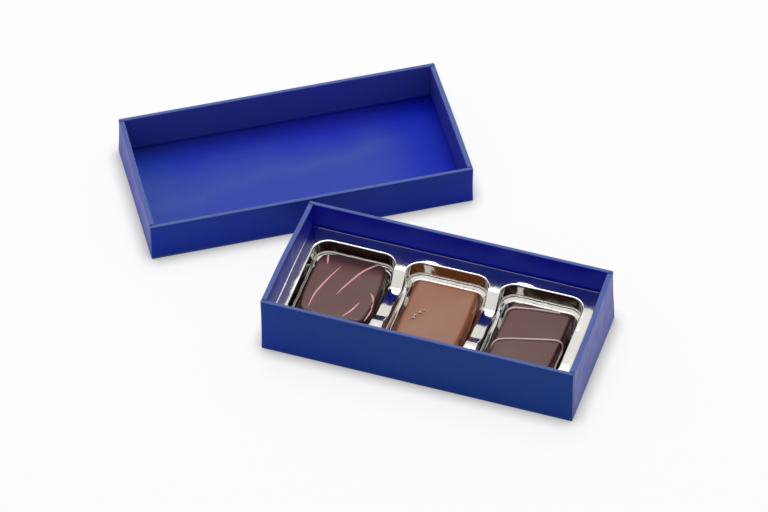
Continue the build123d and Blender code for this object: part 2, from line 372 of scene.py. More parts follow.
def plainMaterial(name, look):
    # two near colours mixed by a fine grain, whose wave and grain are multiples of the look's scale
    material, tree, shader, place = newMaterial(name)
    skin = surfaceGrain(tree, place, plainLook, look["scale"])
    mask = tree.ramp(skin["Mask"], *noiseRange)
    tree.put(shader.inputs["Base Color"], tree.blend(mask, look["colour"], look["other"]))
    rough, spread = look["roughness"], plainLook["roughSpread"]
    tree.put(shader.inputs["Roughness"], tree.ramp(skin["Mask"], *noiseRange, rough - spread, rough + spread))
    shader.inputs["Subsurface Weight"].default_value = look["soft"]
    if look["soft"]:
        shader.inputs["Subsurface Radius"].default_value = plainLook["reach"]
        shader.inputs["Subsurface Scale"].default_value = plainLook["softDepth"]
    bumpNormal(tree, shader, skin["Height"], plainLook)
    return material


baseBoard = boardMaterial("blueBoard", boardLook, 0.0)
lidBoard = boardMaterial("blueBoardLid", boardLook, 32.0)  # the streaks turn with the lid
silverFilm = filmMaterial(filmLook)
darkChocolate = chocolateMaterial("darkChocolate", darkSkin)
milkChocolate = chocolateMaterial("milkChocolate", milkSkin)
pinkStripe = plainMaterial("pinkStripe", stripeSkin)
paleThread = plainMaterial("paleThread", threadSkin)
saltGrain = plainMaterial("salt", saltSkin)
softFilling = plainMaterial("softFilling", fillingSkin)
cartonGlue = plainMaterial("cartonGlue", glueSkin)
print("materials made")


# Cartons: four rolled walls and a floor, then one soft warp for the whole tray

runSpacing = 2.5


def roundedLine(corners, radii, steps=7):
    # a closed plan outline: each corner turned on an arc of its own radius, the runs filled at a set spacing
    count = len(corners)
    points = []
    for i in range(count):
        p, before, after = (np.array(corners[k % count], float) for k in (i, i - 1, i + 1))
        a, b = before - p, after - p
        la, lb = np.linalg.norm(a), np.linalg.norm(b)
        a, b = a / la, b / lb
        half = math.acos(np.clip(a @ b, -1, 1)) / 2
        reach = radii[i] / math.tan(half)
        start, end = p + a * reach, p + b * reach
        centre = p + (a + b) / np.linalg.norm(a + b) * radii[i] / math.sin(half)
        t = np.linspace(0, 1, steps)[:, None]
        arms = (start - centre) * (1 - t) + (end - centre) * t
        arc = centre + arms / np.linalg.norm(arms, axis=1)[:, None] * radii[i]
        points.append(arc)
    outline = []
    for i in range(count):
        outline.append(points[i])
        a, b = points[i][-1], points[(i + 1) % count][0]
        spans = max(1, int(np.linalg.norm(b - a) / runSpacing))
        outline.append(a + (b - a) * (np.arange(1, spans) / spans)[:, None])
    return np.vstack(outline)


def insetNormals(outline):
    # inward normals of a closed plan outline that runs anticlockwise
    ahead = np.roll(outline, -1, axis=0) - outline
    back = outline - np.roll(outline, 1, axis=0)
    ahead /= np.linalg.norm(ahead, axis=1)[:, None]
    back /= np.linalg.norm(back, axis=1)[:, None]
    n1 = np.stack([-ahead[:, 1], ahead[:, 0]], axis=1)
    n2 = np.stack([-back[:, 1], back[:, 0]], axis=1)
    n = n1 + n2
    return n / np.maximum((n * n).sum(axis=1), 1e-9)[:, None] * 2


def rolledWall(outline, centreLine, height, look):
    # rings of the plan outline going up: foot turned in, upright, rim rolled over to the wall's middle line
    normals = insetNormals(outline)
    inside = smoothStep((np.abs(outline - centreLine["face"]) @ centreLine["axis"] - look["faceDepth"]) / 0.3)
    foot = inside * look["panelLift"]
    fold, rim = look["foldRadius"], look["rimRadius"]
    rings = []
    for t in np.linspace(0, math.pi / 2, 5):
        rings.append((fold * (1 - math.sin(t)), foot + fold * (1 - math.cos(t))))
    low, high = foot + fold, height - rim
    for t in np.linspace(0.08, 0.92, 9):
        rings.append((0, low + (high - low) * t))
    for t in np.linspace(0, math.pi / 2, 9):
        rings.append((rim * (1 - math.cos(t)), height + rim * (math.sin(t) - 1)))
    rings = np.stack([np.column_stack([outline + normals * inset, np.broadcast_to(z, len(outline))])
                      for inset, z in rings])

    def closing(ring, share):
        # a flat row drawn towards the wall's middle line
        row = ring.copy()
        offset = (ring[:, :2] - centreLine["middle"]) @ centreLine["axis"]
        row[:, :2] -= np.outer(offset * share, centreLine["axis"])
        return row

    bottom = np.stack([closing(rings[0], share) * [1, 1, 0.5] for share in (0.97, 0.5)])
    top = np.stack([closing(rings[-1], share) for share in (0.5, 0.97)])
    return outward(cappedShell(np.concatenate([bottom, rings, top])))


cartonLook = dict(board=0.45, longWall=1.45, endWall=2.0, seamPlace=1.4, seamGap=0.14, slit=0.16,
                  returnDepth=0.5, faceDepth=0.35, cornerRadius=0.4, edgeRadius=0.22, foldRadius=0.32, rimRadius=0.34,
                  cutRadius=0.12, mitreRadius=0.2, innerRadius=0.25, panelLift=0.62, pinch=0.12)


def cartonShell(carton, look):
    # two long walls, two end walls and the floor panel, before the warp
    l, w, height = carton["length"] / 2, carton["width"] / 2, carton["height"]
    t, e = look["longWall"], look["endWall"]
    seam, gap, slit, back = look["seamPlace"], look["seamGap"], look["slit"], look["returnDepth"]
    shells = []
    # long wall at -Y: its face wraps both upright corners and stops at the seam
    side = [(-l, -w), (l, -w), (l, -w + seam - gap), (l - back, -w + seam - gap), (l - e, -w + t),
            (-l + e, -w + t), (-l + back, -w + seam - gap), (-l, -w + seam - gap)]
    cuts = [look["cutRadius"]] * 2
    radii = [look["cornerRadius"]] * 2 + cuts + [look["innerRadius"]] * 2 + cuts
    guide = dict(face=np.array([0.0, -w]), axis=np.array([0.0, 1.0]), middle=np.array([0.0, -w + t / 2]))
    shells.append(rolledWall(roundedLine(side, radii), guide, height, look))
    # end wall at +X: between the seams, mitred to the long walls
    end = [(l, -w + seam), (l, w - seam), (l - back, w - seam), (l - e, w - t - slit),
           (l - e, -w + t + slit), (l - back, -w + seam)]
    radii = [look["edgeRadius"]] * 2 + cuts[:1] + [look["mitreRadius"]] * 2 + cuts[:1]
    guide = dict(face=np.array([l, 0.0]), axis=np.array([1.0, 0.0]), middle=np.array([l - e / 2, 0.0]))
    shells.append(rolledWall(roundedLine(end, radii), guide, height, look))
    # the other two walls are the same, turned half round
    shells += [(points * [-1, -1, 1], quads, tris) for points, quads, tris in shells]
    # floor panel, a thin slab on a fine grid so that it can take the warp
    x = np.linspace(-l + e * 0.6, l - e * 0.6, 61)
    y = np.linspace(-w + t * 0.6, w - t * 0.6, 31)
    gx, gy = np.meshgrid(x, y, indexing="ij")
    top = np.stack([gx, gy, np.full_like(gx, look["board"])], axis=-1)
    low = top * [1, 1, 0]
    border = lambda g: np.vstack([g[:, 0], g[-1, 1:], g[-2::-1, -1], g[0, -2:0:-1]])
    lowShell = gridShell(low)
    shells += [gridShell(top), (lowShell[0], lowShell[1][:, ::-1], lowShell[2]),
               gridShell(np.stack([border(low), border(top)]), closedV=True)]
    return joined(shells)


def warpCarton(verts, carton, look):
    # walls pinch in at mid height by a sine of the height, and the end walls lean in at the top of their back ends;
    # both fade away from the walls with the sixth power of the place
    x, y, z = verts.T
    sx, sy, sz = x / carton["length"] * 2, y / carton["width"] * 2, np.clip(z / carton["height"], 0, 1)
    pinch = look["pinch"] * np.sin(np.pi * sz)
    lean = np.where(x < 0, *carton["lean"]) * smoothStep(sz) * smoothStep((sy + 0.3) / 1.3)
    moveX = -np.sign(x) * np.abs(sx) ** 6 * (pinch + lean)
    moveY = -np.sign(y) * np.abs(sy) ** 6 * pinch
    return np.column_stack([x + moveX, y + moveY, z])


def intoCarton(verts, carton, back=False):
    # the carton's own place and turn, or back from them
    c, s = math.cos(math.radians(carton["turn"])), math.sin(math.radians(carton["turn"]))
    matrix = np.array([[c, s, 0], [-s, c, 0], [0, 0, 1]])
    centre = np.array([*carton["centre"], 0.0])
    return (verts - centre) @ matrix.T if back else verts @ matrix + centre


# the board's painted light: rim highlights with wear, end-face sheen, lid floor reflection with a highlight band and
# shade at its right end, and lighter lid inner walls
coatingLook = dict(rimDepth=0.34, rimFade=0.22, endDepth=0.5, endFade=0.4, endMargin=0.3, faceDepth=0.8, floorTop=1.0,
                   floorLow=0.12, floorRise=0.30, floorFrom=22.0, floorOver=18.0, highlightBand=0.10, highlightBandPlace=3.0,
                   highlightBandTurn=0.12, highlightBandWidth=3.5, rightShade=0.85, rightShadeFrom=28.0, rightShadeOver=26.0, innerWallLight=0.45,
                   tealLow=0.8, tealHeight=20.0)


def wearAndSheenMask(verts, carton, look):
    # painted highlight and sheen with some wear: 1 along the rims' folds (painted highlight and wear), a share of
    # painted grazing sheen on the end faces and, in the lid, painted light on the inner walls and a painted floor
    # reflection that rises in a wavy line to the front, with one painted highlight band, and fades to the right as
    # painted shade
    x, y, z = verts.T
    l, w = carton["length"] / 2, carton["width"] / 2
    # painted highlight along the rims' folds, with some wear
    rim = smoothStep((z - (carton["height"] - look["rimDepth"])) / look["rimFade"])
    # painted sheen on the end faces: lighter where they reflect the pale surroundings at a grazing angle
    end = smoothStep((np.abs(x) - (l - look["endDepth"])) / look["endFade"]) * (np.abs(y) < w - look["endMargin"])
    end = end * carton["endSheen"] * (1 - rim)
    # painted reflection on the lid floor: lighter to the front where it reflects the pale surroundings, darker by the
    # back wall, with one painted highlight band and painted shade towards the right end
    wavy = y + 1.5 * np.sin(x * 0.11) + 0.8 * np.sin(x * 0.31 + 1.0)
    rise = look["floorRise"] * smoothStep((look["floorFrom"] - wavy) / look["floorOver"])
    highlightBand = look["highlightBand"] * np.exp(-((wavy - look["highlightBandPlace"] - x * look["highlightBandTurn"]) / look["highlightBandWidth"]) ** 2)
    rightShade = 1 - look["rightShade"] * smoothStep((x - look["rightShadeFrom"]) / look["rightShadeOver"])
    floor = (look["floorLow"] + rise + highlightBand) * rightShade * (z < look["floorTop"]) * (z > 0.1)
    # painted light on the lid's inner walls
    inner = (np.abs(x) < l - look["faceDepth"]) * (np.abs(y) < w - look["faceDepth"]) * (z > look["floorTop"])
    return rim + end + carton["insideLight"] * (floor + look["innerWallLight"] * inner * (1 - rim))


def tealReflectionMask(verts, carton, look):
    # painted reflection on the pearl coating: greener on the long outer faces, less so at the foot where the shaded
    # floor is reflected, and greener on the floor with the square of the place towards the left end
    x, y, z = verts.T
    onFace = smoothStep((np.abs(y) - (carton["width"] / 2 - look["faceDepth"])) / 0.5) * carton["outerTeal"]
    onFloor = carton["floorTeal"] * np.clip(-x / (carton["length"] / 2), 0, 1) ** 2 * (z < look["floorTop"])
    return onFace * (look["tealLow"] + (1 - look["tealLow"]) * smoothStep(z / look["tealHeight"])) + onFloor


# the last two shares are painted light: inside the lid (floor reflection and inner walls) and grazing sheen on the
# end faces; the teal shares are painted reflection
baseCarton = dict(length=120.0, width=54.5, height=25.0, centre=(0.0, 0.0), turn=0.0, lean=(1.0, 1.0),
                  outerTeal=1.0, floorTeal=0.0, insideLight=0.0, endSheen=0.5)
lidCarton = dict(length=124.5, width=59.0, height=17.0, centre=(-76.490, 60.811), turn=32.0, lean=(0.6, 0.3),
                 outerTeal=0.5, floorTeal=0.7, insideLight=1.0, endSheen=0.1)


def makeCarton(body, material, carton):
    # the board with its painted wear-and-sheen and teal reflection values, warped and put in its place, and the glue
    # films bent along with it
    verts, quads, tris = cartonShell(carton, cartonLook)
    values = dict(wearAndSheen=wearAndSheenMask(verts, carton, coatingLook), teal=tealReflectionMask(verts, carton, coatingLook))
    warped = intoCarton(warpCarton(verts, carton, cartonLook), carton)
    makePiece(body + "_carton_board", (warped, quads, tris), material, body,
              [body + "_carton"], values=values)
    # the four glue films are a merged copy of the CAD's
    glue = nodes[body + "_corner_glue"].data
    points = np.empty(len(glue.vertices) * 3, np.float32)
    glue.vertices.foreach_get("co", points)
    faces = np.empty(len(glue.loops), np.int32)
    glue.loops.foreach_get("vertex_index", faces)
    local = intoCarton(points.reshape(-1, 3) / mm, carton, back=True)
    bent = intoCarton(warpCarton(local, carton, cartonLook), carton)
    film = makePiece(body + "_corner_glue_films", (bent, np.zeros((0, 4), int), faces.reshape(-1, 3)), cartonGlue,
                     body, [body + "_corner_glue"])
    welded(film)


makeCarton("base", baseBoard, baseCarton)
makeCarton("lid", lidBoard, lidCarton)
print("cartons made")


# Insert: one formed film, pockets and dipped bridges

insertTray = dict(flange=13.55, foot=6.35, floor=0.80, halfWidth=16.1, halfLength=20.25, pitch=36.4, shift=-1.2,
                  mouthRadius=6.0, draft=3.0, stepHeight=7.9, stepWidth=0.22, stepDrop=0.5, shelfWidth=1.35,
                  floorRadius=0.9, shelfRadius=0.25, rampFrom=4.0, rampOver=13.0, ramp=(0.0, 4.6, 4.4), lip=0.14,
                  dish=(0.0, 0.30, 0.30), dishPlace=-8.0, dishReach=4.5, dishWidth=1.6, left=-58.0, right=55.6,
                  outerY=25.4, dipPlaces=(-12.8, -8.6, -3.5, 8.8, 13.6), dipHeights=(13.55, 10.9, 10.7, 8.4, 13.55),
                  bridgeHalf=3.6, bridgeFade=0.8, curl=0.16, curlWidth=0.8, flangeWave=0.06, wallWave=0.055,
                  wallRipple=0.03, film=0.32)


def ringOutline(halfX, halfY, radius, centre, sideX=26, sideY=40, turnSteps=12):
    # rounded rectangle with the same number of points on each run and turn, whatever its size
    xs = np.linspace(-(halfX - radius), halfX - radius, sideX, endpoint=False)
    ys = np.linspace(-(halfY - radius), halfY - radius, sideY, endpoint=False)
    quarter = np.linspace(0, math.pi / 2, turnSteps, endpoint=False)
    innerX, innerY, s, c = halfX - radius, halfY - radius, radius * np.sin(quarter), radius * np.cos(quarter)
    parts = [(xs, np.full(sideX, -halfY)), (innerX + s, -innerY - c), (np.full(sideY, halfX), ys),
             (innerX + c, innerY + s), (-xs, np.full(sideX, halfY)), (-innerX - s, innerY + c),
             (np.full(sideY, -halfX), -ys), (-innerX - c, -innerY - s)]
    return np.vstack([np.column_stack(part) for part in parts]) + np.array(centre)


def landHeight(x, y, look):
    # flange height, dipped across each bridge: a slope behind, a bottom that rises forwards, a slope in front
    offsets = np.linspace(-0.8, 0.8, 9)
    profile = np.mean([np.interp(y + o, look["dipPlaces"], look["dipHeights"]) for o in offsets], axis=0)
    fromBridge = np.abs(np.abs(x - look["shift"]) - look["pitch"] / 2)
    bridge = 1 - smoothStep((fromBridge - look["bridgeHalf"]) / look["bridgeFade"])
    return look["flange"] + (profile - look["flange"]) * bridge


def pocketCell(number, look):
    # rings from the pocket's middle over its floor, walls, shelf, step and lip, and on to the cell's border
    centre = look["shift"] + number * look["pitch"]
    a, b, r = look["halfWidth"], look["halfLength"], look["mouthRadius"]
    slope = math.tan(math.radians(look["draft"]))
    foot, flange, floor, step = look["foot"], look["flange"], look["floor"], look["stepHeight"]
    mouth = lambda grow: ringOutline(a + grow, b + grow, max(r + grow, 0.8), (centre, 0.0))
    ramp = look["ramp"][number + 1]
    land = (landHeight(*mouth(look["lip"]).T, look) - foot) / (flange - foot)
    # the flange dips to the mouth behind the pocket's left half
    along, across = (mouth(0) - [centre, 0]).T
    dish = look["dish"][number + 1] * np.exp(-((along - look["dishPlace"]) / look["dishReach"]) ** 2)
    dish = dish * smoothStep((across - 12) / 6)
    rings = []

    def ring(grow, z):
        # heights above the foot shrink with the land where a bridge dips
        level = np.where(z > foot, foot + (z - foot) * land, z)
        rings.append(np.column_stack([ramped(mouth(grow), z), level]))

    def ramped(plan, z):
        # below the step the back wall slopes forwards to the floor
        share = ramp * np.clip((foot - z) / (foot - floor), 0, 1)
        return plan - np.outer(share * smoothStep((plan[:, 1] - look["rampFrom"]) / look["rampOver"]), [0, 1])

    stepGrow = (step - flange) * slope - look["stepWidth"]
    shelfGrow = stepGrow - look["shelfWidth"]
    floorGrow = shelfGrow - (foot - floor) * slope
    low, turn = look["floorRadius"], look["shelfRadius"]
    for s in (0.06, 0.3, 0.55, 0.78, 0.92):
        plan = (mouth(floorGrow - low) - [centre, 0]) * s + [centre, 0]
        rings.append(np.column_stack([ramped(plan, floor), np.full(len(plan), floor)]))
    for t in np.linspace(0, math.pi / 2, 5):
        ring(floorGrow - low * (1 - math.sin(t)), floor + low * (1 - math.cos(t)))
    for t in (0.35, 0.7):
        ring(floorGrow + t * (foot - floor) * slope, floor + t * (foot - floor) + 0.3)
    for t in np.linspace(0, math.pi / 2, 5):
        ring(shelfGrow + turn * (1 - math.cos(t)), foot - turn * (1 - math.sin(t)))
    for t in (0.25, 0.5, 0.75, 0.95):
        ring(shelfGrow + turn + t * (look["shelfWidth"] - turn), foot + t * (step - look["stepDrop"] - foot))
    for t in (0.1, 0.5, 0.9):
        ring(stepGrow + 0.02 * t, step - look["stepDrop"] * (1 - t))
    for t in (0.3, 0.9):
        ring(stepGrow + look["stepWidth"] * t, step + 0.02 * t)
    for t in (0.03, 0.2, 0.4, 0.6, 0.8, 0.93):
        z = step + t * (flange - look["lip"] - step)
        ring((z - flange) * slope, z)
    for t in np.linspace(0, math.pi / 2, 6):
        ring(look["lip"] * (1 - math.cos(t)), flange - dish - look["lip"] * (1 - math.sin(t)))
    for t in np.linspace(0.15, 1, 6):
        plan = mouth(look["lip"] + t * look["dishWidth"])
        rings.append(np.column_stack([plan, landHeight(*plan.T, look) - dish * (1 - t) ** 1.4]))
    run = mouth(look["lip"] + look["dishWidth"]) - [centre, 0]

    def border(inset):
        # straight out from each run of the mouth; a corner's points go round the corner of the cell's rectangle,
        # which is drawn in only at the tray's outer edge
        side = np.where(run[:, 0] < 0, look["pitch"] / 2 if number > -1 else centre - look["left"] - inset,
                        look["pitch"] / 2 if number < 1 else look["right"] - centre - inset)
        end = look["outerY"] - inset
        u, v = np.abs(run).T
        hx, hy = a - r, b - r
        f = np.arctan2(np.clip(v - hy, 0, None), np.clip(u - hx, 1e-6, None)) / (math.pi / 2)
        x = np.where(u <= hx + 1e-6, u, np.where(f < 0.5, side, hx + (side - hx) * (1 - f) * 2))
        y = np.where(v <= hy + 1e-6, v, np.where(f < 0.5, hy + (end - hy) * f * 2, end))
        y = np.where(u <= hx + 1e-6, end, y)
        return np.column_stack([np.sign(run[:, 0]) * x + centre, np.sign(run[:, 1]) * y])

    start, end = run + [centre, 0], border(0.9)
    plans = [start + (end - start) * t for t in (0.25, 0.5, 0.75, 1.0)]
    plans += [border(inset) for inset in (0.6, 0.4, 0.2, 0.0)]
    rings += [np.column_stack([plan, landHeight(*plan.T, look)]) for plan in plans]
    return np.stack(rings)


def insertShell(look):
    # the three cells side by side, then the waves and the curled edge of formed film
    cells = []
    for number in (-1, 0, 1):
        rings = pocketCell(number, look)
        verts, quads, tris = gridShell(rings, closedV=True)
        middle = fan(len(verts), 0, rings.shape[1])
        cells.append((np.vstack([verts, rings[0].mean(axis=0)]), quads[:, ::-1], middle))
    verts, quads, tris = joined(cells)
    x, y, z = verts.T
    # the cut edge curls up a little, the flange waves slowly and the walls ripple as formed film does
    edge = np.minimum(np.minimum(x - look["left"], look["right"] - x), look["outerY"] - np.abs(y))
    z = z + look["curl"] * (1 - smoothStep(edge / look["curlWidth"])) ** 2
    z = z + look["flangeWave"] * np.sin(x * 0.21 + 0.8) * np.sin(y * 0.23 + 1.1) * smoothStep((z - 10) / 3)
    wall = smoothStep((z - 1.5) / 2) * smoothStep((13.2 - z) / 1.5)
    wave, ripple = look["wallWave"] * wall, look["wallRipple"] * wall
    y = y + wave * np.sin(x * 0.83 + z * 0.3) + ripple * np.sin(x * 1.9 + z * 0.9 + 1.0)
    x = x + wave * np.sin(y * 0.77 + z * 0.35 + 2.0)
    return np.column_stack([x, y, z]), quads, tris


film = makePiece("insert_tray_film", insertShell(insertTray), silverFilm, "insert", ["insert_tray"],
                 sharp=0)
welded(film)
solid = film.modifiers.new("thickness", "SOLIDIFY")
solid.thickness = insertTray["film"] * mm
solid.offset = -1.0
print("insert made")


# Chocolates: bowed blocks with rounded edges

# the last three values of each block set where its painted shade begins, how far it spreads, and its share near the
# outline
dark = dict(centre=(-37.0, -0.5), turn=0.0, halfX=13.9, halfY=16.7, bow=1.5, corner=2.4, edge=1.1, draft=0.6,
            base=0.8, height=13.0, dome=0.16, wave=0.06, seed=3, fallFrom=8.2, fall=0.9, paintedShadeFrom=0.12, paintedShadeOver=0.55,
            paintedShadeEdge=0.25)
milk = dict(centre=(0.1, -2.6), turn=0.0, halfX=12.25, halfY=15.2, bow=0.4, corner=2.2, edge=1.35, draft=0.6,
            base=0.8, height=13.0, dome=0.26, wave=0.11, seed=8, fallFrom=40.0, fall=0.0, paintedShadeFrom=0.15, paintedShadeOver=0.6,
            paintedShadeEdge=0.75)
drizzled = dict(centre=(36.3, -3.1), turn=-1.5, halfX=12.0, halfY=14.95, bow=0.3, corner=1.8, edge=1.1, draft=0.6,
                base=0.8, height=13.0, dome=0.12, wave=0.06, seed=5, fallFrom=40.0, fall=0.0, paintedShadeFrom=0.2,
                paintedShadeOver=0.6, paintedShadeEdge=0.25)


def blockOutline(look, inset):
    # rounded rectangle bowed outwards: each side moves out by bow times one minus its place squared
    a, b, bow = look["halfX"] - look["bow"], look["halfY"] - look["bow"], look["bow"]
    radius = max(look["corner"] - inset, 0.35)
    plan = ringOutline(a - inset, b - inset, radius, (0.0, 0.0), 36, 40, 14)
    x, y = plan.T
    sx, sy = x / (a - inset), y / (b - inset)
    return np.column_stack([x + bow * sx * (1 - sy ** 2), y + bow * sy * (1 - sx ** 2)])


def placed(plan, look):
    # turned about the block's middle and moved to its place
    c, s = math.cos(math.radians(look["turn"])), math.sin(math.radians(look["turn"]))
    return plan @ np.array([[c, s], [-s, c]]) + np.array(look["centre"])


blockLook = dict(foot=0.7, sideBulge=0.12, fallOver=6.5, fallPower=1.3, edgeFrom=0.76, edgeOver=0.2, waves=4,
                 waveTurns=(0.12, 0.34))


def backFall(y, look):
    # a top that rounds down towards the back, with a power of the distance past its start
    return look["fall"] * np.clip((y - look["fallFrom"]) / blockLook["fallOver"], 0, 1.2) ** blockLook["fallPower"]


def blockShell(look):
    # rings: foot middle, turned foot, drafted side, rounded top edge, gently domed top
    low, high = look["base"], look["base"] + look["height"]
    slope = math.tan(math.radians(look["draft"]))
    rows = []
    foot = blockLook["foot"]
    for s in (0.15, 0.4, 0.65, 0.85, 0.95):
        rows.append((blockOutline(look, foot) * s, low))
    for t in np.linspace(0, 1, 5):
        turn = t * math.pi / 2
        rows.append((blockOutline(look, foot * (1 - math.sin(turn))), low + foot * (1 - math.cos(turn))))
    for t in np.linspace(0.1, 1, 8):
        z = low + foot + t * (look["height"] - foot - look["edge"])
        rows.append((blockOutline(look, (z - low) * slope - blockLook["sideBulge"] * math.sin(math.pi * t)), z))
    rim = (look["height"] - look["edge"]) * slope
    for t in np.linspace(0.12, 1, 8):
        turn = t * math.pi / 2
        rows.append((blockOutline(look, rim + look["edge"] * (1 - math.cos(turn))),
                     high - look["dome"] - look["edge"] * (1 - math.sin(turn))))
    last = blockOutline(look, rim + look["edge"])
    for s in (0.96, 0.9, 0.8, 0.66, 0.5, 0.33, 0.16, 0.05):
        rows.append((last * s, high - look["dome"] * s * s))
    rings = np.stack([np.column_stack([placed(plan, look), np.full(len(plan), z)]) for plan, z in rows])
    # soft unevenness of poured chocolate: slow waves of the surface, seeded
    random = np.random.default_rng(look["seed"])
    x, y, z = rings[..., 0], rings[..., 1], rings[..., 2]
    for axis in range(3):
        wave = np.zeros_like(x)
        for _ in range(blockLook["waves"]):
            f = random.uniform(*blockLook["waveTurns"], 3)
            p = random.uniform(0, 6.28, 3)
            wave += np.sin(f[0] * x + p[0]) * np.sin(f[1] * y + p[1]) * np.sin(f[2] * z + p[2])
        amount = look["wave"] * (0.6 if axis == 2 else 1.0)
        rings[..., axis] = rings[..., axis] + amount * wave * smoothStep((z - low) / 3)
    rings[..., 2] -= backFall(y, look) * smoothStep((z - high + 6) / 5)
    return outward(cappedShell(rings))


def makeChocolate(body, look, material):
    # its painted shade value goes from 0 on the flat top, over a share near the outline, to 1 below the turned edge
    # and down the back's fall
    shell = blockShell(look)
    depth = look["base"] + look["height"] - shell[0][:, 2]
    reach = (np.abs(shell[0][:, :2] - look["centre"]) / (look["halfX"], look["halfY"])).max(axis=1)
    paintedShade = np.maximum(look["paintedShadeEdge"] * smoothStep((reach - blockLook["edgeFrom"]) / blockLook["edgeOver"]),
                      smoothStep((depth - look["paintedShadeFrom"]) / look["paintedShadeOver"]))
    makePiece(body + "_shell", shell, material, body, [body + "_coating"], sharp=0,
              values=dict(paintedShade=paintedShade))


makeChocolate("dark_praline", dark, darkChocolate)
makeChocolate("milk_praline", milk, milkChocolate)
makeChocolate("drizzled_praline", drizzled, darkChocolate)


def topHeight(x, y, look):
    # height of the chocolate's skin over a plan point: flat top, falling on the edge's arc near the outline
    rim = (look["height"] - look["edge"]) * math.tan(math.radians(look["draft"]))
    line = placed(blockOutline(look, rim), look)
    d = np.sqrt(((np.column_stack([x, y])[:, None] - line[None]) ** 2).sum(axis=-1))
    near = d.min(axis=1)
    normal = insetNormals(line)[d.argmin(axis=1)]
    inside = np.einsum("ij,ij->i", np.column_stack([x, y]) - line[d.argmin(axis=1)], normal) > 0
    depth = np.clip(np.where(inside, near, 0), 0, look["edge"])
    drop = look["edge"] - np.sqrt(np.maximum(look["edge"] ** 2 - (look["edge"] - depth) ** 2, 0))
    return look["base"] + look["height"] - look["dome"] * 0.6 - drop - backFall(y, look)


def smoothPath(points, count):
    # Catmull-Rom curve through the points, sampled evenly in its parameter
    p = np.vstack([2 * points[0] - points[1], points, 2 * points[-1] - points[-2]])
    t = np.linspace(0, len(points) - 1 - 1e-9, count)
    i = t.astype(int)
    f = (t - i)[:, None]
    a, b, c, d = p[i], p[i + 1], p[i + 2], p[i + 3]
    return 0.5 * (2 * b + (c - a) * f + (2 * a - 5 * b + 4 * c - d) * f ** 2 + (3 * b - a - 3 * c + d) * f ** 3)


def tube(path, across, up, lift):
    # round or flat thread: a ring of radii across and up at each point of the path
    along = np.gradient(path, axis=0)
    along /= np.linalg.norm(along, axis=1)[:, None]
    side = np.cross(along, lift)
    side /= np.linalg.norm(side, axis=1)[:, None]
    rise = np.cross(side, along)
    angle = np.linspace(0, 2 * math.pi, 14, endpoint=False)
    rings = path[:, None] + side[:, None] * (np.cos(angle)[None, :, None] * across[:, None, None]) \
        + rise[:, None] * (np.sin(angle)[None, :, None] * up[:, None, None])
    return outward(cappedShell(rings))


stripeLook = dict(width=0.76, height=0.13, sunk=0.02, endShare=0.12)
stripeLines = [
    [(-47.4, 14.1), (-46.7, 11.3), (-45.9, 8.4)],
    [(-40.8, 8.6), (-43.4, 1.4), (-45.6, -6.8), (-46.0, -14.8)],
    [(-27.7, 14.8), (-29.8, 12.3), (-32.6, 8.0), (-36.3, -0.4), (-37.9, -5.3)],
    [(-26.0, -1.0), (-24.5, -2.7), (-23.7, -5.0)],
    [(-28.4, -6.3), (-30.1, -11.0), (-32.5, -15.4)],
    [(-23.6, -5.0), (-23.6, -9.0), (-24.2, -14.2)],
]


def stripeShell(points, look):
    # a drawn stripe laid on the skin: its width follows a sine of the way along it, raised to 0.7
    path = smoothPath(np.array(points, float), 40)
    t = np.linspace(0, 1, len(path))
    z = topHeight(path[:, 0], path[:, 1], look)
    path = np.column_stack([path, z + stripeLook["sunk"]])
    end = stripeLook["endShare"]
    half = stripeLook["width"] / 2 * (end + (1 - end) * np.sin(math.pi * np.clip(t * 0.96 + 0.02, 0, 1)) ** 0.7)
    lift = np.tile([0.0, 0.0, 1.0], (len(path), 1))
    return tube(path, half, np.full(len(path), stripeLook["height"]), lift)


makePiece("dark_praline_stripes_drawn", joined([stripeShell(p, dark) for p in stripeLines]), pinkStripe,
          "dark_praline", ["dark_praline_stripes"], sharp=0)

threadLook = dict(radius=0.40, unevenness=0.04, swells=19.0, flatness=0.9, points=150)
threadLines = [
    [(24.15, 4.2, 9.6), (24.15, 5.0, 11.8), (24.6, 6.2, 13.6), (26.3, 8.0, 13.95), (29.4, 8.8, 13.95),
     (33.4, 9.6, 13.95), (37.5, 10.1, 13.95), (41.1, 10.4, 13.95), (43.6, 10.8, 13.8)],
    [(24.1, -11.4, 10.4), (24.2, -10.6, 12.4), (25.4, -9.1, 13.85), (27.5, -7.9, 13.95), (31.4, -6.6, 13.95),
     (36.6, -5.2, 13.95), (43.1, -3.5, 13.95), (46.2, -2.9, 13.95), (48.0, -2.9, 13.6), (48.7, -2.9, 12.2),
     (48.7, -3.2, 10.4), (48.65, -4.6, 9.4), (48.55, -7.8, 9.4), (48.5, -10.4, 9.4), (48.45, -12.8, 9.0)],
]


def threadShell(points):
    # a poured thread whose radius swells and thins with a sine along it
    path = smoothPath(np.array(points, float), threadLook["points"])
    radius = threadLook["radius"] + threadLook["unevenness"] * np.sin(np.linspace(0, threadLook["swells"], len(path)))
    lift = np.tile([0.02, -0.03, 1.0], (len(path), 1))
    return tube(path, radius, radius * threadLook["flatness"], lift)


makePiece("drizzled_praline_threads_drawn", joined([threadShell(p) for p in threadLines]), paleThread,
          "drizzled_praline", ["drizzled_praline_threads"], sharp=0)

saltLook = dict(width=0.38, height=0.26, boxPower=7, unevenness=0.12, skin=13.8, sunk=0.2)
saltPlaces = [(-7.3, -7.9, 1.1, 20), (-7.1, -6.5, 0.8, 65), (-8.3, -6.7, 0.5, 40), (-5.6, -4.6, 1.15, 35),
              (-4.6, -3.1, 0.9, 10), (-5.7, -3.1, 0.6, 75), (-4.3, -4.9, 0.5, 50)]


